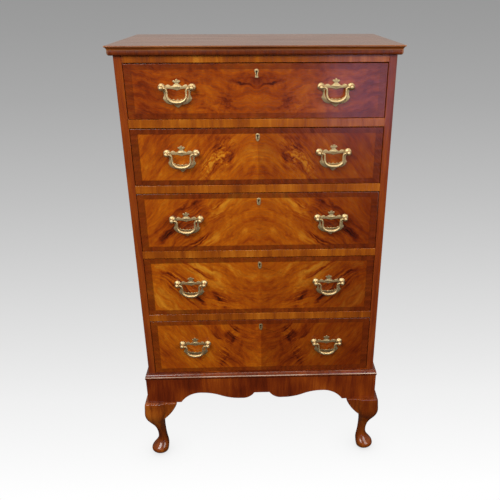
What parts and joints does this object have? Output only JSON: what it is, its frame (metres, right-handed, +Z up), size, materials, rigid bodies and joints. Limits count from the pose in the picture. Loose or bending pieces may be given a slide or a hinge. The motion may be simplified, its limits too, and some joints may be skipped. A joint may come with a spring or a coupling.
{
  "type": "tall chest of drawers",
  "caption": "Tall chest of drawers on a low stand with cabriole legs, with sliding locked drawers and swinging bail handles.",
  "frame": {"origin": "on the floor, under the middle of the overall box", "axes": "+Z up, -Y towards the user (drawers open along -Y), +X to the right seen from the front"},
  "size_m": [0.7216, 0.4428, 1.22],
  "materials": {
    "walnut_veneer": "figured walnut veneer, French polished",
    "walnut": "solid walnut, stained red-brown and French polished",
    "lining_wood": "planed oak and pine, unpolished",
    "brass": "cast brass, polished and lightly aged",
    "steel": "filed steel"
  },
  "bodies": {
    "case": {"top_board": "walnut_veneer", "cornice_moulding": "walnut", "left_side": "walnut", "right_side": "walnut", "back_panel": "lining_wood", "top_rail": "walnut", "drawer_rails": "walnut", "bottom_board": "walnut", "drawer_runners": "lining_wood", "dust_boards": "lining_wood", "drawer_stops": "lining_wood", "stand_moulding": "walnut", "front_apron": "walnut", "stand_side_rails": "walnut", "stand_back_rail": "lining_wood", "front_left_leg": "walnut", "front_right_leg": "walnut", "rear_left_leg": "walnut", "rear_right_leg": "walnut", "knee_blocks": "walnut"},
    "drawer_1": {"drawer_1_front": "walnut_veneer", "drawer_1_box": "lining_wood", "drawer_1_bottom": "lining_wood", "drawer_1_hardware": "brass", "drawer_1_lock": "brass"},
    "drawer_1_left_bail": {"drawer_1_left_bail": "brass"},
    "drawer_1_right_bail": {"drawer_1_right_bail": "brass"},
    "drawer_1_lock_bolt": {"drawer_1_lock_bolt": "steel"},
    "drawer_2": {"drawer_2_front": "walnut_veneer", "drawer_2_box": "lining_wood", "drawer_2_bottom": "lining_wood", "drawer_2_hardware": "brass", "drawer_2_lock": "brass"},
    "drawer_2_left_bail": {"drawer_2_left_bail": "brass"},
    "drawer_2_right_bail": {"drawer_2_right_bail": "brass"},
    "drawer_2_lock_bolt": {"drawer_2_lock_bolt": "steel"},
    "drawer_3": {"drawer_3_front": "walnut_veneer", "drawer_3_box": "lining_wood", "drawer_3_bottom": "lining_wood", "drawer_3_hardware": "brass", "drawer_3_lock": "brass"},
    "drawer_3_left_bail": {"drawer_3_left_bail": "brass"},
    "drawer_3_right_bail": {"drawer_3_right_bail": "brass"},
    "drawer_3_lock_bolt": {"drawer_3_lock_bolt": "steel"},
    "drawer_4": {"drawer_4_front": "walnut_veneer", "drawer_4_box": "lining_wood", "drawer_4_bottom": "lining_wood", "drawer_4_hardware": "brass", "drawer_4_lock": "brass"},
    "drawer_4_left_bail": {"drawer_4_left_bail": "brass"},
    "drawer_4_right_bail": {"drawer_4_right_bail": "brass"},
    "drawer_4_lock_bolt": {"drawer_4_lock_bolt": "steel"},
    "drawer_5": {"drawer_5_front": "walnut_veneer", "drawer_5_box": "lining_wood", "drawer_5_bottom": "lining_wood", "drawer_5_hardware": "brass", "drawer_5_lock": "brass"},
    "drawer_5_left_bail": {"drawer_5_left_bail": "brass"},
    "drawer_5_right_bail": {"drawer_5_right_bail": "brass"},
    "drawer_5_lock_bolt": {"drawer_5_lock_bolt": "steel"}
  },
  "joints": [
    {"name": "drawer_1_slide", "type": "slide", "parent": "case", "child": "drawer_1", "axis": [0, -1, 0], "range_m": [0, 0.3]},
    {"name": "drawer_1_left_bail_swing", "type": "hinge", "parent": "drawer_1", "child": "drawer_1_left_bail", "pos_m": [-0.1925, -0.2128, 1.125], "axis": [-1, 0, 0], "range_deg": [-15, 90]},
    {"name": "drawer_1_right_bail_swing", "type": "hinge", "parent": "drawer_1", "child": "drawer_1_right_bail", "pos_m": [0.1925, -0.2128, 1.125], "axis": [-1, 0, 0], "range_deg": [-15, 90]},
    {"name": "drawer_1_lock_throw", "type": "slide", "parent": "drawer_1", "child": "drawer_1_lock_bolt", "axis": [0, 0, 1], "range_m": [0, 0.007]},
    {"name": "drawer_2_slide", "type": "slide", "parent": "case", "child": "drawer_2", "axis": [0, -1, 0], "range_m": [0, 0.3]},
    {"name": "drawer_2_left_bail_swing", "type": "hinge", "parent": "drawer_2", "child": "drawer_2_left_bail", "pos_m": [-0.1925, -0.2128, 0.965], "axis": [-1, 0, 0], "range_deg": [-15, 90]},
    {"name": "drawer_2_right_bail_swing", "type": "hinge", "parent": "drawer_2", "child": "drawer_2_right_bail", "pos_m": [0.1925, -0.2128, 0.965], "axis": [-1, 0, 0], "range_deg": [-15, 90]},
    {"name": "drawer_2_lock_throw", "type": "slide", "parent": "drawer_2", "child": "drawer_2_lock_bolt", "axis": [0, 0, 1], "range_m": [0, 0.007]},
    {"name": "drawer_3_slide", "type": "slide", "parent": "case", "child": "drawer_3", "axis": [0, -1, 0], "range_m": [0, 0.3]},
    {"name": "drawer_3_left_bail_swing", "type": "hinge", "parent": "drawer_3", "child": "drawer_3_left_bail", "pos_m": [-0.1925, -0.2128, 0.789], "axis": [-1, 0, 0], "range_deg": [-15, 90]},
    {"name": "drawer_3_right_bail_swing", "type": "hinge", "parent": "drawer_3", "child": "drawer_3_right_bail", "pos_m": [0.1925, -0.2128, 0.789], "axis": [-1, 0, 0], "range_deg": [-15, 90]},
    {"name": "drawer_3_lock_throw", "type": "slide", "parent": "drawer_3", "child": "drawer_3_lock_bolt", "axis": [0, 0, 1], "range_m": [0, 0.007]},
    {"name": "drawer_4_slide", "type": "slide", "parent": "case", "child": "drawer_4", "axis": [0, -1, 0], "range_m": [0, 0.3]},
    {"name": "drawer_4_left_bail_swing", "type": "hinge", "parent": "drawer_4", "child": "drawer_4_left_bail", "pos_m": [-0.1925, -0.2128, 0.5995], "axis": [-1, 0, 0], "range_deg": [-15, 90]},
    {"name": "drawer_4_right_bail_swing", "type": "hinge", "parent": "drawer_4", "child": "drawer_4_right_bail", "pos_m": [0.1925, -0.2128, 0.5995], "axis": [-1, 0, 0], "range_deg": [-15, 90]},
    {"name": "drawer_4_lock_throw", "type": "slide", "parent": "drawer_4", "child": "drawer_4_lock_bolt", "axis": [0, 0, 1], "range_m": [0, 0.007]},
    {"name": "drawer_5_slide", "type": "slide", "parent": "case", "child": "drawer_5", "axis": [0, -1, 0], "range_m": [0, 0.3]},
    {"name": "drawer_5_left_bail_swing", "type": "hinge", "parent": "drawer_5", "child": "drawer_5_left_bail", "pos_m": [-0.1925, -0.2128, 0.4025], "axis": [-1, 0, 0], "range_deg": [-15, 90]},
    {"name": "drawer_5_right_bail_swing", "type": "hinge", "parent": "drawer_5", "child": "drawer_5_right_bail", "pos_m": [0.1925, -0.2128, 0.4025], "axis": [-1, 0, 0], "range_deg": [-15, 90]},
    {"name": "drawer_5_lock_throw", "type": "slide", "parent": "drawer_5", "child": "drawer_5_lock_bolt", "axis": [0, 0, 1], "range_m": [0, 0.007]}
  ]
}
